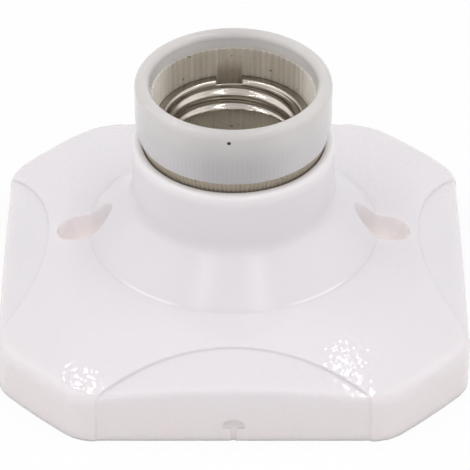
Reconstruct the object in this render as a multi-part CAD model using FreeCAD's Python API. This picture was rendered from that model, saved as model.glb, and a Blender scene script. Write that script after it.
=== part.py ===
import FreeCAD, Part
import math
import os

V = FreeCAD.Vector
Z = V(0, 0, 1)

# heights of the insert, down from its top face
top_z = 54.8
ring_h = 12.3
belly_drop = 7.8
mouth_depth = 3.3
swell_drop = 1.5
ledge_depth = 9.95
ring_gap = 2.3
taper_h = 2.8
glaze_low_z = top_z - ring_h
ring_belly_z = top_z - belly_drop
mouth_low_z = top_z - mouth_depth
mouth_swell_z = top_z - swell_drop
ledge_z = top_z - ledge_depth
taper_low_z = glaze_low_z - taper_h
lip_z = glaze_low_z - ring_gap

# heights of the insert, up from its seat in the housing
seat_z = 20.0
foot_h = 9.5
floor_t = 5.0
floor_z = seat_z + foot_h

# housing plate
plate_half = 47.9
flat_half = 31.0
corner_r = 9.5
chamfer_bow = 0.5
wall = 2.3
dome_r = 156.0
lobe_edge_r = 3.0
face_inset = 0.25
rib_t = 1.6
rib_low_z = 10.0
rib_bite = 0.5

# lens shaped side facets
lens_apex = 38.4
lens_arc_r = 45.0
lens_step = 0.35
lens_lead = 2.0
lens_fall = 0.36
lens_crown_r = 177.0
lens_edge_r = 1.5
lens_end_x = math.sqrt(lens_arc_r ** 2 - (lens_apex + lens_arc_r - plate_half + face_inset) ** 2)

# flare and collar
flare_foot_r = 29.9
flare_foot_z = 18.4
groove_share = 0.22
foot_share = 1.05
foot_sink = 0.3
filled_low_z = 12.0
collar_low_r = 20.9
collar_low_z = 27.7
collar_top_r = 20.6
junction_r = 3.5
lip_round = 0.9
web_t = 2.5
window_r = 14.0
bar_half = 4.4

# wall screw pockets
pocket_in = 29.1
pocket_out = 32.4
pocket_r = 4.1
pocket_wall = 1.8
pocket_floor_z = 3.5
wall_slot_r = 2.25

# gate mark on the front face
gate_z = 3.2
gate_r = 2.15
gate_stem_half = 0.45
gate_depth = 0.2

# porcelain insert
bore_gap = 0.3
bore_r = 18.65
bore_bevel = 0.3
body_r = bore_r - bore_gap
glaze_low_r = 19.3
ring_r = 20.0
ring_bow = 0.15
ring_round = 1.5
mouth_r = 16.9
outer_ribs = 130
outer_rib_depth = 0.25
flutes = 72
flute_crest_r = 16.2
flute_depth = 0.3
well_r = 14.3
pocket_wall_r = 14.6
porcelain_bar_half = 4.0

# screw shell
shell_t = 0.5
flange_r = 15.8
crest_r = 12.4
root_r = 13.45
thread_pitch = 3.629
crest_drop = 2.7
first_crest_z = ledge_z - crest_drop
bend_r = 13.75
shell_run = 3.25
shell_low_z = first_crest_z - shell_run
hem_out = 0.1
leg_r = 13.85
leg_drop = 0.55
leg_top_z = first_crest_z - leg_drop
foot_near_y = 5.8
foot_half = 3.0
notch_half = 2.65
notch_turn = 3.5
notch_depth = 2.05
notch_low_z = ledge_z - notch_depth
notch_rim_drop = 0.15

# contact leaf
leaf_t = 0.5
leaf_half = 3.0
leaf_lift = 2.6
leaf_far_y = 11.8
leaf_lap = 4.0
leaf_bend_y = 5.4
leaf_top_y = 1.8
leaf_tip_y = -2.2
leaf_curl_y = -3.4
leaf_curl = 0.7
button_r = 1.6
button_h = 0.5
button_sink = 0.2

# small screws
m3_r = 1.5
m3_head_r = 2.75
m3_head_h = 2.0
head_round = 0.5
slot_w = 0.8
slot_d = 1.0
hole_gap = 0.2
shank_gap = 0.1
thread_gap = 0.05
fix_x = 9.5
fix_sink = 2.5
fix_seat_z = floor_z - fix_sink
fix_sink_r = 3.3
spring_t = 0.7
nut_h = 2.4
nut_flats = 5.5
nut_bevel = 0.4
spring_r = 2.9
spring_split = 0.6
tip_past_nut = 1.2
tip_past_plate = 1.1

# terminals
side_x = 4.3
side_y = 8.8
plate_t = 1.2
plate_near_y = 5.4
plate_far_y = 12.2
plate_low_x = -7.6
plate_high_x = 9.2
plate_trim_r = 13.9
ear_t = 1.0
ear_far_y = 9.6
ear_drop = 2.6
wire_r = 1.75
wire_gap = 0.08
wire_head_r = 3.1
wire_head_h = 2.2
wire_hole_r = 2.3
wire_roof = 2.1
wire_hole_top_z = floor_z - wire_roof
wire_tip_gap = 0.8
wire_tip_z = wire_hole_top_z - wire_tip_gap
clamp_r = 3.5
clamp_t = 0.8

# cutters run this far past the part, or past the face that they open
far = 2.0 * plate_half
over = 1.0


def save(shape, node):
    shape.exportStep("parts/" + node + ".step")


def cylinder(r, low, high, x=0.0, y=0.0):
    return Part.makeCylinder(r, high - low, V(x, y, low))


def box(x1, x2, y1, y2, z1, z2):
    return Part.makeBox(x2 - x1, y2 - y1, z2 - z1, V(x1, y1, z1))


def prism(points, low, high):
    corners = [V(x, y, low) for x, y in points]
    wire = Part.makePolygon(corners + corners[:1])
    return Part.Face(wire).extrude(V(0, 0, high - low))


def turned(edges):
    face = Part.Face(Part.Wire(edges))
    return face.revolve(V(0, 0, 0), Z, 360)


def lines(points):
    places = [V(r, 0, z) for r, z in points]
    return [Part.makeLine(a, b) for a, b in zip(places, places[1:])]


def bow(start, middle, end):
    places = [V(r, 0, z) for r, z in (start, middle, end)]
    return Part.Arc(*places).toShape()


def obround(x1, x2, r, low, high):
    ends = cylinder(r, low, high, x1).fuse(cylinder(r, low, high, x2))
    return ends.fuse(box(x1, x2, -r, r, low, high)).removeSplitter()


def star(count, crest, valley, z):
    points = []
    for i in range(2 * count):
        r = crest if i % 2 else valley
        a = math.pi * i / count
        points.append(V(r * math.cos(a), r * math.sin(a), z))
    return Part.makePolygon(points + points[:1])


def spun(shape, degrees):
    copy = shape.copy()
    copy.rotate(V(0, 0, 0), Z, degrees)
    return copy


def dome(drop):
    rise = math.sqrt(dome_r ** 2 - flare_foot_r ** 2)
    ball = Part.makeSphere(dome_r - drop)
    ball.translate(V(0, 0, flare_foot_z - rise))
    return ball


def dome_z(r):
    return flare_foot_z + math.sqrt(dome_r ** 2 - r ** 2) - math.sqrt(dome_r ** 2 - flare_foot_r ** 2)


# square outline with bowed chamfers at its corners and rounded uprights
def octagon(inset):
    half = plate_half - inset
    flat = flat_half - inset * math.tan(math.pi / 8)
    bow_mid = (half + flat) / 2 + chamfer_bow * math.sqrt(0.5)
    edges = []
    for a in (0, 90, 180, 270):
        side = Part.makeLine(V(half, -flat, 0), V(half, flat, 0))
        chamfer = Part.Arc(V(half, flat, 0), V(bow_mid, bow_mid, 0), V(flat, half, 0)).toShape()
        edges += [spun(side, a), spun(chamfer, a)]
    solid = Part.Face(Part.Wire(edges)).extrude(V(0, 0, far))
    uprights = [e for e in solid.Edges if abs(e.BoundBox.ZLength - far) < 0.01]
    return solid.makeFillet(max(corner_r - inset, 1.0), uprights)


# space outside one lens facet: its face falls outwards, is crowned sideways and rounds over the skirt
def lens_cut():
    face_y = face_inset - plate_half
    start_y = -lens_apex + lens_lead
    start_z = dome_z(lens_apex) - lens_step + lens_lead * lens_fall
    corner_z = start_z - (start_y - face_y) * lens_fall
    tilt = math.atan(lens_fall)
    back = lens_edge_r * math.tan((math.pi / 2 - tilt) / 2)
    low = V(0, face_y, corner_z - back)
    high = V(0, face_y + back * math.cos(tilt), corner_z + back * math.sin(tilt))
    centre = V(0, face_y + lens_edge_r, corner_z - back)
    lean = (math.pi / 2 + tilt) / 2
    middle = centre + V(0, -math.cos(lean), math.sin(lean)) * lens_edge_r
    rounding = Part.Arc(low, middle, high).toShape()
    start = V(0, start_y, start_z)
    sky = V(0, 0, far)
    out = V(0, -far, 0)
    under = V(0, face_y, -over)
    rest = Part.makePolygon([high, start, start + sky, under + sky + out, under + out, under, low])
    face = Part.Face(Part.Wire([rounding] + rest.Edges))
    axis_z = start_z - lens_crown_r
    half_turn = 1.2 * math.degrees(math.asin(lens_end_x / lens_crown_r))
    face.rotate(V(0, 0, axis_z), V(0, 1, 0), -half_turn)
    around = face.revolve(V(0, 0, axis_z), V(0, 1, 0), 2 * half_turn)
    return around.common(cylinder(lens_arc_r, -far, 2 * far, 0.0, -lens_apex - lens_arc_r))


def plate_solid():
    solid = octagon(0.0).common(dome(0.0))
    rim = [e for e in solid.Edges if e.BoundBox.ZMin > lobe_edge_r]
    solid = solid.makeFillet(lobe_edge_r, rim)
    return solid.cut([spun(lens_cut(), a) for a in (0, 90, 180, 270)])


# point on the flare, share runs from collar to foot, inset goes into the wall
def flare_point(share, inset=0.0):
    run = flare_foot_r - collar_low_r
    fall = collar_low_z - flare_foot_z
    length = math.hypot(run, fall)
    r = collar_low_r + run * share - inset * fall / length
    z = collar_low_z - fall * share - inset * run / length
    return r, z


# start, middle and end of a rounding where two straight runs meet
def rounded(before, corner, after, r):
    here = V(corner[0], 0, corner[1])
    to_before = (V(before[0], 0, before[1]) - here).normalize()
    to_after = (V(after[0], 0, after[1]) - here).normalize()
    half_angle = to_before.getAngle(to_after) / 2
    inward = (to_before + to_after).normalize()
    reach = r / math.tan(half_angle)
    middle = here + inward * (r / math.sin(half_angle) - r)
    return [(p.x, p.z) for p in (here + to_before * reach, middle, here + to_after * reach)]


def hub_edges():
    groove = flare_point(groove_share, wall)
    inner_foot = flare_point(1.0, wall)
    low = seat_z - web_t
    edges = lines([(0, seat_z), (0, low), (groove[0], low), groove])
    edges += lines([groove, inner_foot])
    outer_foot = flare_point(foot_share)
    edges += lines([inner_foot, (outer_foot[0], inner_foot[1] - foot_sink), outer_foot])
    return edges + hub_outside()


def hub_outside():
    shoulder = (collar_top_r, lip_z - lip_round)
    d = lip_round * (1 - math.sqrt(0.5))
    crown = (collar_top_r - d, lip_z - d)
    turn = rounded(flare_point(foot_share), (collar_low_r, collar_low_z), shoulder, junction_r)
    edges = lines([flare_point(foot_share), turn[0]]) + [bow(*turn)] + lines([turn[2], shoulder])
    edges += [bow(shoulder, crown, (collar_top_r - lip_round, lip_z))]
    edges += lines([(collar_top_r - lip_round, lip_z), (bore_r + bore_bevel, lip_z)])
    bore_mouth = [(bore_r + bore_bevel, lip_z), (bore_r, lip_z - bore_bevel)]
    edges += lines(bore_mouth + [(bore_r, seat_z), (0, seat_z)])
    return edges


def hub_filled():
    outer_foot = flare_point(foot_share)
    edges = lines([(0, seat_z), (0, filled_low_z), (outer_foot[0], filled_low_z), outer_foot])
    return turned(edges + hub_outside())


def gate_mark():
    face_y = face_inset - plate_half
    cap = Part.makeCylinder(gate_r, 2 * gate_depth, V(0, face_y - gate_depth, gate_z), V(0, 1, 0))
    cap = cap.common(box(-gate_r, gate_r, -far, 0, gate_z, gate_z + gate_r))
    stem = box(-gate_stem_half, gate_stem_half, face_y - gate_depth, face_y + gate_depth, -over, gate_z)
    return cap.fuse(stem)


def web_windows():
    disc = cylinder(window_r, seat_z - web_t - over, seat_z + over)
    return disc.cut(box(-far, far, -bar_half, bar_half, -far, far))


def base_housing():
    outside = plate_solid()
    inside = octagon(wall).common(dome(wall))
    inner_foot_r = flare_point(1.0, wall)[0]
    filled = outside.fuse(hub_filled())
    boss = obround(pocket_in, pocket_out, pocket_r + pocket_wall, 0.0, far)
    rib = box(flare_point(groove_share, wall)[0] - rib_bite, far, -rib_t / 2, rib_t / 2, rib_low_z, far)
    extras = [spun(boss, a) for a in (0, 180)] + [spun(rib, a) for a in (45, 135, 225, 315)]
    body = outside.cut(inside).cut(cylinder(inner_foot_r, -far, far))
    body = body.fuse([turned(hub_edges())] + [e.common(filled) for e in extras])
    pocket = obround(pocket_in, pocket_out, pocket_r, pocket_floor_z, far)
    wall_slot = obround(pocket_in, pocket_out, wall_slot_r, -over, pocket_floor_z + over)
    cuts = [spun(c, a) for c in (pocket, wall_slot) for a in (0, 180)]
    cuts += [web_windows(), gate_mark()]
    cuts += [cylinder(m3_r + hole_gap, -far, far, x) for x in (-fix_x, fix_x)]
    return body.cut(cuts).removeSplitter()


def star_prism(count, crest, valley, low, high):
    return Part.Face(star(count, crest, valley, low)).extrude(V(0, 0, high - low))


def insert_outside():
    stem = star_prism(outer_ribs, body_r, body_r - outer_rib_depth, seat_z, taper_low_z)
    low = star(outer_ribs, body_r, body_r - outer_rib_depth, taper_low_z)
    high = star(outer_ribs, glaze_low_r, glaze_low_r - outer_rib_depth, glaze_low_z)
    taper = Part.makeLoft([low, high], True, True)
    side_mid = ((glaze_low_r + ring_r) / 2 + ring_bow, (glaze_low_z + ring_belly_z) / 2)
    round_low = (ring_r, top_z - ring_round)
    edges = lines([(0, top_z), (0, glaze_low_z), (glaze_low_r, glaze_low_z)])
    edges += [bow((glaze_low_r, glaze_low_z), side_mid, (ring_r, ring_belly_z))]
    edges += lines([(ring_r, ring_belly_z), round_low])
    edges += [bow(round_low, round_point(ring_r, -1), (ring_r - ring_round, top_z))]
    edges += lines([(ring_r - ring_round, top_z), (0, top_z)])
    return stem.fuse([taper, turned(edges)])


# middle point of the rounding between the top face and a wall
def round_point(r, side):
    d = ring_round * (1 - math.sqrt(0.5))
    return r + side * d, top_z - d


def mouth_void():
    low_r = flute_crest_r + flute_depth
    edges = lines([(0, top_z + over), (0, mouth_low_z), (low_r, mouth_low_z), (mouth_r, mouth_swell_z)])
    edges += [bow((mouth_r, mouth_swell_z), round_point(mouth_r, 1), (mouth_r + ring_round, top_z))]
    edges += lines([(mouth_r + ring_round, top_z), (mouth_r + ring_round, top_z + over), (0, top_z + over)])
    return turned(edges)


def notch_box(low, high):
    return spun(box(-notch_half, notch_half, 0.0, far, low, high), notch_turn)


def fluted_void():
    valley = flute_crest_r + flute_depth
    deep = star_prism(flutes, flute_crest_r, valley, notch_low_z, mouth_low_z)
    shallow = star_prism(flutes, flute_crest_r, valley, ledge_z, mouth_low_z)
    return shallow.fuse(deep.common(notch_box(notch_low_z, ledge_z + over)))


def underside_pockets():
    disc = cylinder(pocket_wall_r, seat_z - over, floor_z - floor_t)
    return disc.cut(box(-far, far, -porcelain_bar_half, porcelain_bar_half, -far, far))


def porcelain_insert():
    voids = [mouth_void(), fluted_void(), cylinder(well_r, floor_z, ledge_z + over), underside_pockets()]
    for x in (-fix_x, fix_x):
        voids.append(cylinder(m3_r + hole_gap, seat_z - over, floor_z + over, x))
        voids.append(cylinder(fix_sink_r, fix_seat_z, floor_z + over, x))
    for x, y in ((-side_x, side_y), (side_x, -side_y)):
        voids.append(cylinder(m3_r + hole_gap, seat_z - over, floor_z + over, x, y))
    for x, y in ((side_x, side_y), (-side_x, -side_y)):
        voids.append(cylinder(wire_hole_r, seat_z - over, wire_hole_top_z, x, y))
    return insert_outside().cut(voids)


def thread_curve(shift):
    half = thread_pitch / 2
    z = first_crest_z
    places = [(bend_r, ledge_z + shell_t - shift), (root_r, z + half), (crest_r, z)]
    places += [(root_r, z - half), (crest_r + hem_out, shell_low_z)]
    curve = Part.BSplineCurve()
    curve.interpolate([V(r + shift, 0, h) for r, h in places])
    return curve.toShape()


def screw_shell():
    top = ledge_z + shell_t
    inner = thread_curve(0.0)
    outer = thread_curve(shell_t)
    edges = [inner, outer]
    edges += lines([(bend_r, top), (flange_r, top), (flange_r, ledge_z), (bend_r + shell_t, ledge_z)])
    edges += lines([(crest_r + hem_out, shell_low_z), (crest_r + hem_out + shell_t, shell_low_z)])
    wire = Part.Wire(Part.__sortEdges__(edges))
    body = Part.Face(wire).revolve(V(0, 0, 0), Z, 360)
    strip = box(side_x - foot_half, side_x + foot_half, -leg_r, -foot_near_y, floor_z, leg_top_z)
    leg = cylinder(leg_r, floor_z, leg_top_z).cut(cylinder(leg_r - shell_t, floor_z + shell_t, leg_top_z))
    body = body.cut(notch_box(ledge_z - notch_rim_drop, top + over))
    body = body.fuse(leg.common(strip))
    return body.cut(cylinder(m3_r + shank_gap, floor_z - over, floor_z + over, side_x, -side_y))


def centre_contact():
    low = floor_z
    high = floor_z + leaf_lift
    line = [(leaf_far_y - leaf_lap, low), (leaf_bend_y, low), (leaf_top_y, high)]
    line += [(leaf_tip_y, high), (leaf_curl_y, high - leaf_curl)]
    corners = [V(-leaf_half, y, z) for y, z in line]
    corners += [V(-leaf_half, y, z + leaf_t) for y, z in reversed(line)]
    strip = Part.Face(Part.makePolygon(corners + corners[:1])).extrude(V(2 * leaf_half, 0, 0))
    tab = box(-side_x - leaf_half, leaf_half, leaf_bend_y, leaf_far_y, low, low + leaf_t)
    tab = tab.common(cylinder(leg_r, -far, far))
    top = high + leaf_t
    sunk = top - button_sink
    edges = lines([(0, top + button_h), (0, sunk), (button_r, sunk), (button_r, top)])
    edges += [bow((button_r, top), (button_r * 0.6, top + button_h * 0.75), (0, top + button_h))]
    body = strip.fuse([tab, turned(edges)]).removeSplitter()
    return body.cut(cylinder(m3_r + shank_gap, low - over, low + over, -side_x, side_y))


def head_slot(r, x, y, z1, z2):
    return box(x - r - over, x + r + over, y - slot_w / 2, y + slot_w / 2, z1, z2)


# screw with its head on top and its tip pointing down
def m3_screw(x, y, seat, tip):
    head = cylinder(m3_head_r, seat, seat + m3_head_h, x, y)
    head = head.makeFillet(head_round, flat_edges(head, seat + m3_head_h))
    shank = cylinder(m3_r, tip, seat, x, y)
    body = head.fuse(shank).removeSplitter()
    return body.cut(head_slot(m3_head_r, x, y, seat + m3_head_h - slot_d, seat + m3_head_h + over))


def flat_edges(shape, z):
    return [e for e in shape.Edges if abs(e.BoundBox.ZMin - z) < 0.001 and e.BoundBox.ZLength < 0.001]


def spring_washer(x):
    top = seat_z - web_t
    ring = cylinder(spring_r, top - spring_t, top, x).cut(cylinder(m3_r + shank_gap, -far, far, x))
    split = box(x, far, -spring_split / 2, spring_split / 2, -far, far)
    return ring.cut(split)


def fixing_nut(x):
    top = seat_z - web_t - spring_t
    corner = nut_flats / math.sqrt(3)
    points = []
    for i in range(6):
        a = math.pi * i / 3
        points.append((x + corner * math.cos(a), corner * math.sin(a)))
    hexagon = prism(points, top - nut_h, top)
    mid = nut_flats / 2
    edges = lines([(0, top), (0, top - nut_h), (mid, top - nut_h), (corner, top - nut_h + nut_bevel)])
    edges += lines([(corner, top - nut_h + nut_bevel), (corner, top - nut_bevel), (mid, top), (0, top)])
    barrel = turned(edges)
    barrel.translate(V(x, 0, 0))
    return hexagon.common(barrel).cut(cylinder(m3_r + thread_gap, -far, far, x))


def terminal_plate():
    top = floor_z - floor_t
    plate = box(plate_low_x, plate_high_x, plate_near_y, plate_far_y, top - plate_t, top)
    ear = box(plate_high_x - ear_t, plate_high_x, plate_near_y, ear_far_y, top - plate_t - ear_drop, top)
    body = plate.common(cylinder(plate_trim_r, -far, far)).fuse(ear).removeSplitter()
    body = body.cut(cylinder(m3_r + thread_gap, -far, far, -side_x, side_y))
    return body.cut(cylinder(wire_r + wire_gap, -far, far, side_x, side_y))


def clamp_washer():
    top = floor_z - floor_t - plate_t
    ring = cylinder(clamp_r, top - clamp_t, top, side_x, side_y)
    return ring.cut(cylinder(wire_r + wire_gap, -far, far, side_x, side_y))


def wire_screw():
    seat = floor_z - floor_t - plate_t - clamp_t
    low = seat - wire_head_h
    head = cylinder(wire_head_r, low, seat, side_x, side_y)
    head = head.makeFillet(head_round, flat_edges(head, low))
    body = head.fuse(cylinder(wire_r, seat, wire_tip_z, side_x, side_y)).removeSplitter()
    return body.cut(head_slot(wire_head_r, side_x, side_y, low - over, low + slot_d))


os.makedirs("parts", exist_ok=True)

save(base_housing(), "base_housing")
save(porcelain_insert(), "porcelain_insert")
save(screw_shell(), "screw_shell")
save(centre_contact(), "centre_contact")

plate_low = floor_z - floor_t - plate_t
clamp_low = seat_z - web_t - spring_t - nut_h
save(m3_screw(-side_x, side_y, floor_z + leaf_t, plate_low - tip_past_plate), "contact_screw")
save(m3_screw(side_x, -side_y, floor_z + shell_t, plate_low - tip_past_plate), "shell_screw")
save(m3_screw(fix_x, 0.0, fix_seat_z, clamp_low - tip_past_nut), "fixing_screw_right")
save(m3_screw(-fix_x, 0.0, fix_seat_z, clamp_low - tip_past_nut), "fixing_screw_left")
save(spring_washer(fix_x), "spring_washer_right")
save(spun(spring_washer(fix_x), 180), "spring_washer_left")
save(fixing_nut(fix_x), "fixing_nut_right")
save(fixing_nut(-fix_x), "fixing_nut_left")

# the neutral terminal is the live one turned half round the lamp axis
save(terminal_plate(), "live_terminal")
save(clamp_washer(), "live_clamp_washer")
save(wire_screw(), "live_wire_screw")
save(spun(terminal_plate(), 180), "neutral_terminal")
save(spun(clamp_washer(), 180), "neutral_clamp_washer")
save(spun(wire_screw(), 180), "neutral_wire_screw")
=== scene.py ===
import math
from types import SimpleNamespace

import bmesh
import bpy
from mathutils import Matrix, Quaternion, Vector


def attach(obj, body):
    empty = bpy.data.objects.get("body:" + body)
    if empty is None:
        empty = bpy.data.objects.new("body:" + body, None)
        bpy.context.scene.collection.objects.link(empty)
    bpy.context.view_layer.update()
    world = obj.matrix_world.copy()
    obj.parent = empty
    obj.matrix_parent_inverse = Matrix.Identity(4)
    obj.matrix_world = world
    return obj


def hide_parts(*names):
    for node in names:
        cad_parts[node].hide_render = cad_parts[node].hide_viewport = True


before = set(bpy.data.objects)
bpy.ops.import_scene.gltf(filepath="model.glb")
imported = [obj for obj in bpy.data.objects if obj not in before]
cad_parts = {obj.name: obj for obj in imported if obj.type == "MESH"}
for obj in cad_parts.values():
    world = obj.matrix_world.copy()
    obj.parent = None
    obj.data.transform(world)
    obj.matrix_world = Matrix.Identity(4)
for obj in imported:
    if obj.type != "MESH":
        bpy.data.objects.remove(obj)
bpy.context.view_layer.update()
MM = 0.001

# camera of the photograph, its distance and aim in millimetres, its clip in metres
camera_distance = 740.66
camera_elevation = math.radians(36.29)
camera_aim_z = 15.0
camera_lens = 273.1
camera_sensor = 36.0
camera_shift = (0.0032, 0.0078)
camera_clip = (0.01, 20.0)

# soft boxes as name, place, aim, size and power, in metres and watts
soft_boxes = (
    ("top_box", (0.0, 0.1, 1.3), (0.0, 0.0, 0.0), (1.2, 1.2), 0.95),
    ("side_left", (-0.75, 0.0, 0.6), (0.0, 0.0, 0.03), (0.9, 0.7), 1.3),
    ("side_right", (0.75, 0.0, 0.6), (0.0, 0.0, 0.03), (0.9, 0.7), 1.3),
    ("front_box", (0.0, -1.0, 0.35), (0.0, 0.0, 0.03), (1.0, 0.6), 0.7),
)

# strip lamps overhead, as name, front end and back end, in metres and watts per metre
strips = (
    ("strip_left", (-0.276, -0.65), (-0.29, 0.22)),
    ("strip_right", (0.243, -0.65), (0.2, 0.25)),
)
strip_z = 0.65
strip_width = 0.012
strip_power = 0.95

# small warm lamps low in the screw pockets, for the light that comes through their thin walls
pocket_x = 0.0308
pocket_lamp_z = 0.005
pocket_lamp_size = 0.004
pocket_lamp_power = 0.00046
pocket_lamp_colour = (1.0, 1.0, 0.87)

# world and floor, the floor in metres
white = (1.0, 1.0, 1.0, 1.0)
world_strength = 0.58
floor_grey = (0.93, 0.93, 0.93, 1.0)
floor_glow = 0.88
floor_reach = 4.0
floor_gap = 0.00005

# white moulding in millimetres, a pair is where a change begins and ends
plate_r = (29.5, 30.5)
# painted warm shade on the lower skirt fades out over this height
skirt_warm_shade_z = (3.0, 15.0)
# painted light on the top of the collar comes in over this height
collar_painted_light_z = (37.0, 39.6)
# painted highlight along the flare's foot, as its radius, half width and where it starts and ends aside
foot_highlight_r = 29.7
foot_highlight_half = (0.05, 0.3)
foot_highlight_from_x = (9.0, 15.0)
foot_highlight_to_x = (20.0, 24.0)
gate_half = 2.2
gate_rise = 0.8
gate_z = 4.3
gate_before_y = -40.0
moulding_round = 0.6
peel_depth = 0.05

# finish of the moulding, without a unit
moulding_cloud_share = 0.5
gate_fade = (0.6, 1.3)
gate_share = 0.35
peel_on_flare = 0.5
peel_on_plate = 1.4
flare_rough = 0.24
plate_rough = 0.07

# porcelain in millimetres, a pair is where a change begins and ends
outside_r = (17.6, 17.8)
glaze_inside_z = (50.6, 52.2)
glaze_outside_z = (42.2, 42.4)
glaze_high_z = (46.0, 53.5)
glaze_wander = 0.5
rib_fade_z = (46.0, 52.0)
# painted shade across the ring's middle, front and back alike
painted_shade_x = (2.0, 14.0)
# painted shade on the back of the mouth, by how far back
mouth_back_shade_y = (5.0, 12.0)
# painted shade in the notch, its place and heights
notch_shift = 0.8
notch_shade_x = (2.2, 3.0)
notch_shade_low_z = (41.5, 42.5)
notch_shade_top_z = (45.0, 49.5)
speck_place = (-0.9, -20.0, 52.9)
speck_r = (0.3, 0.5)
ring_round = 0.3
flow_depth = 0.15
grain_depth = 0.05

# finish of the porcelain and the strength of its painted shade, without a unit
rib_count = 130.0
rib_tint_share = 0.22
rib_relief_share = 0.08
painted_shade_low = 0.6
painted_shade_high = 0.24
streak_stretch = (1.0, 1.0, 0.06)
dot_range = (0.78, 0.84)
dot_share = 0.7
notch_shade_share = 0.8
bare_rough = 0.75
glaze_rough = 0.05

# scale of each noise, about the spots in a metre
moulding_cloud_scale = 45.0
peel_scale = 800.0
glaze_edge_scale = 260.0
glaze_cloud_scale = 180.0
flow_scale = 230.0
grain_scale = 2600.0
streak_scale = 1100.0
dot_scale = 1300.0

# metals, the radius of their edges in millimetres and how much finer their grain is than the clouds
metal_round = 0.1
metal_fine = 9.0

# screw shell, in millimetres as in the solids
shell_t = 0.5
crest_r = 12.4
root_r = 13.45
root_ease = 0.1
thread_pitch = 3.629
thread_arc_r = 1.025
first_crest_z = 42.15
ledge_z = 44.85
thread_fade = 0.9
thread_fade_up = 0.1
shell_low_z = 38.9
sheet_wall = 0.45

# rolled flange of the shell as radius and drop below its top, then the wall under it
flange_rows = (
    (15.8, 0.0),
    (15.0, 0.0),
    (14.45, 0.0),
    (14.15, 0.06),
    (13.92, 0.2),
    (13.76, 0.42),
    (13.66, 0.7),
)
wall_drop = 0.95
wall_steps = 34
sheet_columns = 288

# notch in the flange, at the back
notch_half = 2.65
notch_turn = math.radians(93.5)
notch_columns = 24

# torn lower edge, its waves as count, share and start, and its worst part at the rear left
tear_waves = ((23, 1.0, 0.0), (41, 0.6, 1.0), (67, 0.5, 2.0))
tear_depth = 0.05
tear_extra = 0.13
tear_turn = math.radians(118)
tear_spread = 0.45

# leg and foot of the shell, each row of the leg as its set back and its height
leg_r = 13.85
leg_columns = 12
leg_rows = (
    (0.0, 41.6),
    (0.0, 38.0),
    (0.0, 34.0),
    (0.0, 31.2),
    (0.0, 30.45),
    (0.12, 30.18),
    (0.4, 30.0),
)
foot_top_z = 30.0
foot_half = 3.0
foot_near_y = 5.8
foot_screw_x = 4.3
foot_screw_y = 8.8
screw_hole_r = 1.6
screw_hole_steps = 24


def linear(value):
    share = value / 255.0
    return share / 12.92 if share <= 0.04045 else ((share + 0.055) / 1.055) ** 2.4


def colour(red, green, blue):
    return (linear(red), linear(green), linear(blue), 1.0)


# links or sets the inputs of a node, by name or number
def set_inputs(tree, made, inputs):
    for key, value in inputs.items():
        if isinstance(value, bpy.types.NodeSocket):
            tree.links.new(value, made.inputs[key])
        else:
            made.inputs[key].default_value = value


# a node of one kind, with its inputs and settings
def node(tree, kind, inputs=None, **settings):
    made = tree.nodes.new("ShaderNode" + kind)
    for key, value in settings.items():
        setattr(made, key, value)
    set_inputs(tree, made, inputs or {})
    return made


def math_node(tree, operation, first, second=0.0):
    return node(tree, "Math", {0: first, 1: second}, operation=operation).outputs[0]


def times(tree, first, second):
    return math_node(tree, "MULTIPLY", first, second)


def opposite(tree, share):
    return math_node(tree, "SUBTRACT", 1.0, share)


# 0 below low, 1 above high, smooth between
def step_up(tree, value, low, high):
    inputs = {0: value, 1: low, 2: high, 3: 0.0, 4: 1.0}
    return node(tree, "MapRange", inputs, interpolation_type="SMOOTHSTEP").outputs[0]


# the same step for a place in metres and a span in millimetres
def above(tree, place, span):
    return step_up(tree, place, span[0] * MM, span[1] * MM)


def below(tree, place, span):
    return opposite(tree, above(tree, place, span))


# a value that goes from first to second as the share goes from 0 to 1
def blend(tree, share, first, second):
    return node(tree, "MapRange", {0: share, 3: first, 4: second}).outputs[0]


def mix_colour(tree, share, first, second):
    return node(tree, "Mix", {0: share, 6: first, 7: second}, data_type="RGBA").outputs[2]


def noise(tree, place, scale, detail, roughness=0.5):
    inputs = {"Vector": place, "Scale": scale, "Detail": detail, "Roughness": roughness}
    return node(tree, "TexNoise", inputs).outputs["Fac"]


def length(tree, first, second):
    both = node(tree, "CombineXYZ", {0: first, 1: second}).outputs[0]
    return node(tree, "VectorMath", {0: both}, operation="LENGTH").outputs["Value"]


# normal of edges rounded by a radius in metres
def rounded(tree, radius):
    return node(tree, "Bevel", {"Radius": radius}, samples=4).outputs["Normal"]


def bump(tree, height, depth, normal):
    return node(tree, "Bump", {"Height": height, "Distance": depth, "Normal": normal}).outputs["Normal"]


# a new material with its shader and the place of each point in metres
def start_material(name):
    made = bpy.data.materials.new(name)
    made.use_nodes = True
    tree = made.node_tree
    tree.nodes.clear()
    shader = node(tree, "BsdfPrincipled")
    node(tree, "OutputMaterial", {0: shader.outputs[0]})
    place = node(tree, "TexCoord").outputs["Object"]
    return made, tree, shader, place


# a place with its three parts and its distance from the upright axis
def spot(tree, place):
    x, y, z = node(tree, "SeparateXYZ", {0: place}).outputs
    return SimpleNamespace(place=place, x=x, y=y, z=z, far=length(tree, x, y))


# painted highlight, a pale line where the flare meets the plate, on both sides of the middle
def foot_highlight(tree, at):
    off = math_node(tree, "ABSOLUTE", math_node(tree, "SUBTRACT", at.far, foot_highlight_r * MM))
    aside = math_node(tree, "ABSOLUTE", at.x)
    starts = above(tree, aside, foot_highlight_from_x)
    ends = above(tree, aside, foot_highlight_to_x)
    return times(tree, below(tree, off, foot_highlight_half), math_node(tree, "SUBTRACT", starts, ends))


# small mark of the gate low on the front face
def gate_mark(tree, at):
    across = math_node(tree, "DIVIDE", at.x, gate_half * MM)
    rise = math_node(tree, "DIVIDE", math_node(tree, "SUBTRACT", at.z, gate_z * MM), gate_rise * MM)
    near = opposite(tree, step_up(tree, length(tree, across, rise), *gate_fade))
    return times(tree, near, math_node(tree, "LESS_THAN", at.y, gate_before_y * MM))


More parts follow.
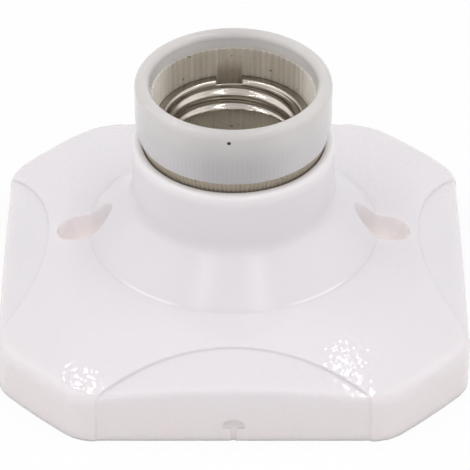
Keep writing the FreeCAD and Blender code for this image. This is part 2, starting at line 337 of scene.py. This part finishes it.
def moulding_tint(tree, at, on_plate):
    cloudy = noise(tree, at.place, moulding_cloud_scale, 3.0)
    gate = gate_mark(tree, at)
    tint = mix_colour(tree, on_plate, colour(229, 224, 228), colour(232, 227, 231))
    tint = mix_colour(tree, times(tree, cloudy, moulding_cloud_share), tint, colour(236, 231, 235))
    # painted warm shade on the lower skirt
    tint = mix_colour(tree, below(tree, at.z, skirt_warm_shade_z), tint, colour(234, 226, 226))
    # painted light, paler on the top of the collar
    tint = mix_colour(tree, above(tree, at.z, collar_painted_light_z), tint, colour(242, 236, 238))
    # painted highlight along the flare's foot
    tint = mix_colour(tree, foot_highlight(tree, at), tint, colour(248, 245, 247))
    return mix_colour(tree, times(tree, gate, gate_share), tint, colour(196, 184, 176))


# moulded skin, a little uneven, more so on the plate
def moulding_normal(tree, at, on_plate):
    peel = noise(tree, at.place, peel_scale, 0.0)
    height = times(tree, peel, blend(tree, on_plate, peel_on_flare, peel_on_plate))
    return bump(tree, height, peel_depth * MM, rounded(tree, moulding_round * MM))


def moulding_material():
    made, tree, shader, place = start_material("white_moulding")
    at = spot(tree, place)
    on_plate = above(tree, at.far, plate_r)
    set_inputs(tree, shader, {
        "Base Color": moulding_tint(tree, at, on_plate),
        "Roughness": blend(tree, on_plate, flare_rough, plate_rough),
        "Normal": moulding_normal(tree, at, on_plate),
        "IOR": 1.49,
        "Subsurface Weight": 0.8,
        "Subsurface Radius": (1.0, 0.9, 0.85),
        "Subsurface Scale": 2.5 * MM,
    })
    return made


# the glaze covers the ring outside, and the mouth only near its rim
def glaze_share(tree, at, outer):
    wander = times(tree, noise(tree, at.place, glaze_edge_scale, 2.0), glaze_wander * MM)
    height = math_node(tree, "SUBTRACT", at.z, wander)
    outside = times(tree, above(tree, height, glaze_outside_z), outer)
    return math_node(tree, "MAXIMUM", above(tree, height, glaze_inside_z), outside)


# fine ribs around the body, they fade under the glaze towards the rim
def rib_waves(tree, at):
    turn = math_node(tree, "ARCTAN2", at.y, at.x)
    waves = math_node(tree, "SINE", times(tree, turn, rib_count))
    return times(tree, waves, below(tree, at.z, rib_fade_z))


def glaze_tint(tree, at, ribs):
    cloudy = noise(tree, at.place, glaze_cloud_scale, 3.0)
    high = above(tree, at.z, glaze_high_z)
    lower = mix_colour(tree, cloudy, colour(199, 196, 198), colour(209, 206, 207))
    upper = mix_colour(tree, cloudy, colour(207, 204, 203), colour(216, 212, 210))
    # painted shade: the glaze is darker across the middle of the ring, at the front and back alike,
    # most of all low down
    middle = below(tree, math_node(tree, "ABSOLUTE", at.x), painted_shade_x)
    painted_shade = times(tree, middle, blend(tree, high, painted_shade_low, painted_shade_high))
    rib_share = times(tree, times(tree, ribs, cloudy), rib_tint_share)
    tint = mix_colour(tree, high, lower, upper)
    tint = mix_colour(tree, painted_shade, tint, colour(160, 158, 159))
    return mix_colour(tree, rib_share, tint, colour(160, 160, 164))


# painted shade on the bare porcelain that the notch in the shell's flange lays open
def painted_notch_shade(tree, at, mouth):
    aside = math_node(tree, "ABSOLUTE", math_node(tree, "ADD", at.x, notch_shift * MM))
    rear = math_node(tree, "GREATER_THAN", at.y, 0.0)
    across = times(tree, times(tree, below(tree, aside, notch_shade_x), rear), mouth)
    top = below(tree, at.z, notch_shade_top_z)
    return times(tree, across, times(tree, top, above(tree, at.z, notch_shade_low_z)))


# the bare body with drawn streaks in the mouth, where painted light makes it paler than outside and
# painted shade makes the mouth's back duller
def body_tint(tree, at, outer, grain):
    mouth = opposite(tree, outer)
    outside = mix_colour(tree, grain, colour(140, 130, 114), colour(184, 174, 158))
    drawn = node(tree, "VectorMath", {0: at.place, 1: streak_stretch}, operation="MULTIPLY")
    streaks = math_node(tree, "ADD", noise(tree, drawn.outputs[0], streak_scale, 2.0), grain)
    streaks = times(tree, streaks, 0.5)
    pale = mix_colour(tree, streaks, colour(230, 223, 212), colour(254, 251, 245))
    dull = mix_colour(tree, streaks, colour(148, 137, 121), colour(230, 223, 211))
    # painted shade on the mouth's back, painted light on the rest of the mouth
    flutes = mix_colour(tree, above(tree, at.y, mouth_back_shade_y), pale, dull)
    dots = step_up(tree, noise(tree, at.place, dot_scale, 0.0), *dot_range)
    notch = painted_notch_shade(tree, at, mouth)
    tint = mix_colour(tree, mouth, outside, flutes)
    tint = mix_colour(tree, times(tree, dots, dot_share), tint, colour(92, 78, 62))
    # painted shade in the notch
    return mix_colour(tree, times(tree, notch, notch_shade_share), tint, colour(152, 140, 122))


# black speck in the glaze at the front
def speck_share(tree, place):
    centre = Vector(speck_place) * MM
    away = node(tree, "VectorMath", {0: place, 1: centre}, operation="DISTANCE").outputs["Value"]
    return below(tree, away, speck_r)


# flowing glaze over the ribs, and grain where the porcelain is bare
def porcelain_normal(tree, at, outer, ribs, grain, glazed):
    flow = noise(tree, at.place, flow_scale, 1.0)
    relief = math_node(tree, "ADD", flow, times(tree, ribs, rib_relief_share))
    edge = rounded(tree, times(tree, outer, ring_round * MM))
    smooth = bump(tree, relief, flow_depth * MM, edge)
    return bump(tree, times(tree, grain, opposite(tree, glazed)), grain_depth * MM, smooth)


def porcelain_material():
    made, tree, shader, place = start_material("porcelain")
    at = spot(tree, place)
    outer = above(tree, at.far, outside_r)
    glazed = glaze_share(tree, at, outer)
    ribs = rib_waves(tree, at)
    grain = noise(tree, place, grain_scale, 4.0, 0.7)
    tint = mix_colour(tree, glazed, body_tint(tree, at, outer, grain), glaze_tint(tree, at, ribs))
    tint = mix_colour(tree, speck_share(tree, place), tint, colour(40, 38, 42))
    set_inputs(tree, shader, {
        "Base Color": tint,
        "Roughness": blend(tree, glazed, bare_rough, glaze_rough),
        "Normal": porcelain_normal(tree, at, outer, ribs, grain, glazed),
        "IOR": 1.52,
        "Subsurface Weight": 0.4,
        "Subsurface Radius": (1.0, 0.9, 0.8),
        "Subsurface Scale": 1.5 * MM,
    })
    return made


# a metal from its two tints, its two roughnesses, the scale of its clouds and the depth of its grain
def metal_material(name, dark, light, rough, scale, grain):
    made, tree, shader, place = start_material(name)
    cloudy = noise(tree, place, scale, 3.0)
    fine = noise(tree, place, scale * metal_fine, 2.0)
    set_inputs(tree, shader, {
        "Base Color": mix_colour(tree, cloudy, dark, light),
        "Roughness": blend(tree, fine, *rough),
        "Normal": bump(tree, fine, grain * MM, rounded(tree, metal_round * MM)),
        "Metallic": 1.0,
    })
    return made


def plated_material():
    dark, light = colour(158, 150, 141), colour(188, 183, 176)
    return metal_material("plated_shell", dark, light, rough=(0.12, 0.24), scale=260.0, grain=0.004)


def bronze_material():
    dark, light = colour(186, 178, 160), colour(206, 199, 184)
    return metal_material("contact_bronze", dark, light, rough=(0.22, 0.36), scale=420.0, grain=0.006)


def brass_material():
    dark, light = colour(186, 158, 88), colour(208, 182, 112)
    return metal_material("terminal_brass", dark, light, rough=(0.25, 0.4), scale=420.0, grain=0.008)


def zinc_material():
    dark, light = colour(164, 166, 168), colour(190, 192, 194)
    return metal_material("zinc_steel", dark, light, rough=(0.25, 0.42), scale=600.0, grain=0.006)


def paint(material, *names):
    for name in names:
        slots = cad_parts[name].data.materials
        slots.clear()
        slots.append(material)


# how far an arc of the thread's profile has fallen at a distance from its middle
def arc_drop(off):
    return thread_arc_r - math.sqrt(thread_arc_r ** 2 - off ** 2)


# radius of the shell's inner face at a height and a turn, a right hand thread
def thread_radius(z, turn):
    turns = (z - first_crest_z) / thread_pitch - (turn - math.pi / 2) / (2 * math.pi)
    off = abs(turns - round(turns)) * thread_pitch
    half_depth = arc_drop(thread_pitch / 4)
    if off < thread_pitch / 4:
        depth = arc_drop(off)
    else:
        depth = 2 * half_depth - arc_drop(thread_pitch / 2 - off)
    up = min(max((ledge_z + thread_fade_up - z) / thread_fade, 0.0), 1.0)
    share = up * up * (3 - 2 * up)
    outer = root_r + root_ease
    return outer - (outer - crest_r) * (1 - depth / (2 * half_depth)) * share


# lower edge of the shell, torn a little where it was pressed
def low_edge(turn):
    tears = sum(share * math.sin(waves * turn + start) for waves, share, start in tear_waves)
    rear_left = math.exp(-((turn - tear_turn) / tear_spread) ** 2)
    return shell_low_z + (tear_depth + tear_extra * rear_left) * tears


# rows of the shell from the flange's rim down to the lower edge, as radius and height for a turn
def shell_rows(turn):
    top = ledge_z + shell_t
    rows = [(r, top - drop) for r, drop in flange_rows]
    start = top - wall_drop
    low = low_edge(turn)
    for i in range(wall_steps + 1):
        z = start + (low - start) * i / wall_steps
        rows.append((thread_radius(z, turn), z))
    return rows


def shell_vert(mesh, r, z, turn):
    return mesh.verts.new(Vector((r * math.cos(turn), r * math.sin(turn), z)) * MM)


# faces between rows or columns of points that lie side by side
def join_rows(mesh, rows):
    for a, b in zip(rows, rows[1:]):
        for k in range(len(a) - 1):
            mesh.faces.new((a[k], a[k + 1], b[k + 1], b[k]))


# half of the notch's angle at a radius, its sides are parallel
def notch_angle(r):
    return math.asin(notch_half / max(r, root_r))


# the threaded sheet with its flange, open at the notch down to the wall
def shell_sheet(mesh):
    half = notch_angle(root_r)
    grid = []
    for i in range(sheet_columns + 1):
        share = i / sheet_columns
        guess = notch_turn + half + share * (2 * math.pi - 2 * half)
        column = []
        for r, z in shell_rows(guess):
            side = notch_angle(r)
            turn = notch_turn + side + share * (2 * math.pi - 2 * side)
            column.append(shell_vert(mesh, r, z, turn))
        grid.append(column)
    join_rows(mesh, grid)
    wall_from = len(flange_rows) - 1
    bridge = [grid[-1][wall_from:]]
    for i in range(1, notch_columns):
        turn = notch_turn + half * (2 * i / notch_columns - 1)
        rows = shell_rows(turn)[wall_from:]
        bridge.append([shell_vert(mesh, r, z, turn) for r, z in rows])
    bridge.append(grid[0][wall_from:])
    join_rows(mesh, bridge)


# strip from the shell down to its foot under the shell screw
def shell_leg(mesh):
    inner = leg_r - shell_t
    rings = []
    for back, z in leg_rows:
        ring = []
        for i in range(leg_columns + 1):
            x = foot_screw_x - foot_half + 2 * foot_half * i / leg_columns
            ring.append(mesh.verts.new(Vector((x, back - math.sqrt(inner ** 2 - x * x), z)) * MM))
        rings.append(ring)
    join_rows(mesh, rings)
    return rings[-1]


# flat foot with the hole for its screw, from the last row of the leg
def shell_foot(mesh, front):
    ring = []
    for i in range(screw_hole_steps):
        turn = 2 * math.pi * i / screw_hole_steps
        x = foot_screw_x + screw_hole_r * math.cos(turn)
        y = -foot_screw_y + screw_hole_r * math.sin(turn)
        ring.append(mesh.verts.new(Vector((x, y, foot_top_z)) * MM))
    rear = [mesh.verts.new(Vector((v.co.x / MM, -foot_near_y, foot_top_z)) * MM) for v in front]
    rim = front + rear[::-1]
    bmesh.ops.triangle_fill(mesh, use_beauty=True, edges=rim_edges(mesh, rim) + rim_edges(mesh, ring))


def rim_edges(mesh, verts):
    found = []
    for a, b in zip(verts, verts[1:] + verts[:1]):
        found.append(mesh.edges.get((a, b)) or mesh.edges.new((a, b)))
    return found


def finish_mesh(mesh, name, material):
    bmesh.ops.recalc_face_normals(mesh, faces=mesh.faces[:])
    data = bpy.data.meshes.new(name)
    mesh.to_mesh(data)
    mesh.free()
    data.shade_smooth()
    data.materials.append(material)
    made = bpy.data.objects.new(name, data)
    bpy.context.scene.collection.objects.link(made)
    return made


def screw_shell(material):
    mesh = bmesh.new()
    shell_sheet(mesh)
    shell_foot(mesh, shell_leg(mesh))
    made = finish_mesh(mesh, "threaded_shell", material)
    wall = made.modifiers.new("wall", "SOLIDIFY")
    wall.thickness = sheet_wall * MM
    wall.offset = -1.0
    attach(made, "holder")
    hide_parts("screw_shell")


def add_camera():
    data = bpy.data.cameras.new("camera")
    made = bpy.data.objects.new("camera", data)
    bpy.context.scene.collection.objects.link(made)
    reach = camera_distance * MM
    back = Vector((0.0, -math.cos(camera_elevation), math.sin(camera_elevation)))
    made.location = Vector((0.0, 0.0, camera_aim_z * MM)) + back * reach
    made.rotation_mode = "QUATERNION"
    made.rotation_quaternion = (-back).to_track_quat("-Z", "Y")
    data.sensor_width = camera_sensor
    data.lens = camera_lens
    data.shift_x, data.shift_y = camera_shift
    data.clip_start, data.clip_end = camera_clip
    bpy.context.scene.camera = made


def add_area(name, place, aim, size, power, roll=0.0):
    data = bpy.data.lights.new(name, "AREA")
    data.shape = "RECTANGLE"
    data.size, data.size_y = size
    data.energy = power
    made = bpy.data.objects.new(name, data)
    bpy.context.scene.collection.objects.link(made)
    made.location = place
    made.rotation_mode = "QUATERNION"
    facing = (Vector(aim) - Vector(place)).to_track_quat("-Z", "Y")
    made.rotation_quaternion = facing @ Quaternion((0.0, 0.0, 1.0), roll)
    return made


# long narrow lamp overhead, from its front end to its back end
def add_strip(name, front, back):
    middle = ((front[0] + back[0]) / 2, (front[1] + back[1]) / 2, strip_z)
    long = math.hypot(back[0] - front[0], back[1] - front[1])
    roll = math.atan2(front[0] - back[0], back[1] - front[1])
    below_it = (middle[0], middle[1], 0.0)
    add_area(name, middle, below_it, (strip_width, long), strip_power * long, roll)


# lamp low in a screw pocket that shines up and is not seen itself
def add_pocket_lamp(name, x):
    size = (pocket_lamp_size, pocket_lamp_size)
    made = add_area(name, (x, 0.0, pocket_lamp_z), (x, 0.0, 1.0), size, pocket_lamp_power)
    made.data.color = pocket_lamp_colour
    made.visible_camera = False


def add_lights():
    for soft_box in soft_boxes:
        add_area(*soft_box)
    for strip in strips:
        add_strip(*strip)
    add_pocket_lamp("pocket_left", -pocket_x)
    add_pocket_lamp("pocket_right", pocket_x)


# 1 for the rays that show the white background, seen directly or in metal and glass
def shown_ray(tree):
    path = node(tree, "LightPath").outputs
    seen = math_node(tree, "MAXIMUM", path["Is Camera Ray"], path["Is Glossy Ray"])
    return math_node(tree, "MAXIMUM", seen, path["Is Transmission Ray"])


def add_world():
    world = bpy.data.worlds.new("studio")
    bpy.context.scene.world = world
    world.use_nodes = True
    tree = world.node_tree
    tree.nodes.clear()
    soft = node(tree, "Background", {0: white, 1: world_strength}).outputs[0]
    shown = node(tree, "Background", {0: white, 1: 1.0}).outputs[0]
    both = node(tree, "MixShader", {0: shown_ray(tree), 1: soft, 2: shown})
    node(tree, "OutputWorld", {0: both.outputs[0]})


def floor_material():
    made = bpy.data.materials.new("floor")
    made.use_nodes = True
    tree = made.node_tree
    tree.nodes.clear()
    matt = node(tree, "BsdfDiffuse", {0: floor_grey}).outputs[0]
    glow = node(tree, "Emission", {0: white, 1: 1.0}).outputs[0]
    share = times(tree, shown_ray(tree), floor_glow)
    both = node(tree, "MixShader", {0: share, 1: matt, 2: glow})
    node(tree, "OutputMaterial", {0: both.outputs[0]})
    return made


def add_floor():
    mesh = bmesh.new()
    bmesh.ops.create_grid(mesh, x_segments=1, y_segments=1, size=floor_reach)
    bmesh.ops.translate(mesh, verts=mesh.verts[:], vec=(0.0, 0.0, -floor_gap))
    finish_mesh(mesh, "floor", floor_material())


add_camera()
add_lights()
add_world()
add_floor()

plated = plated_material()
bronze = bronze_material()
brass = brass_material()
zinc = zinc_material()

paint(moulding_material(), "base_housing")
paint(porcelain_material(), "porcelain_insert")
paint(bronze, "centre_contact")
paint(brass, "live_terminal", "neutral_terminal", "live_clamp_washer", "neutral_clamp_washer")
paint(zinc, "contact_screw", "shell_screw", "live_wire_screw", "neutral_wire_screw")
paint(zinc, "fixing_screw_right", "fixing_screw_left", "fixing_nut_right", "fixing_nut_left")
paint(zinc, "spring_washer_right", "spring_washer_left")
screw_shell(plated)

bpy.context.scene.view_settings.view_transform = "Standard"
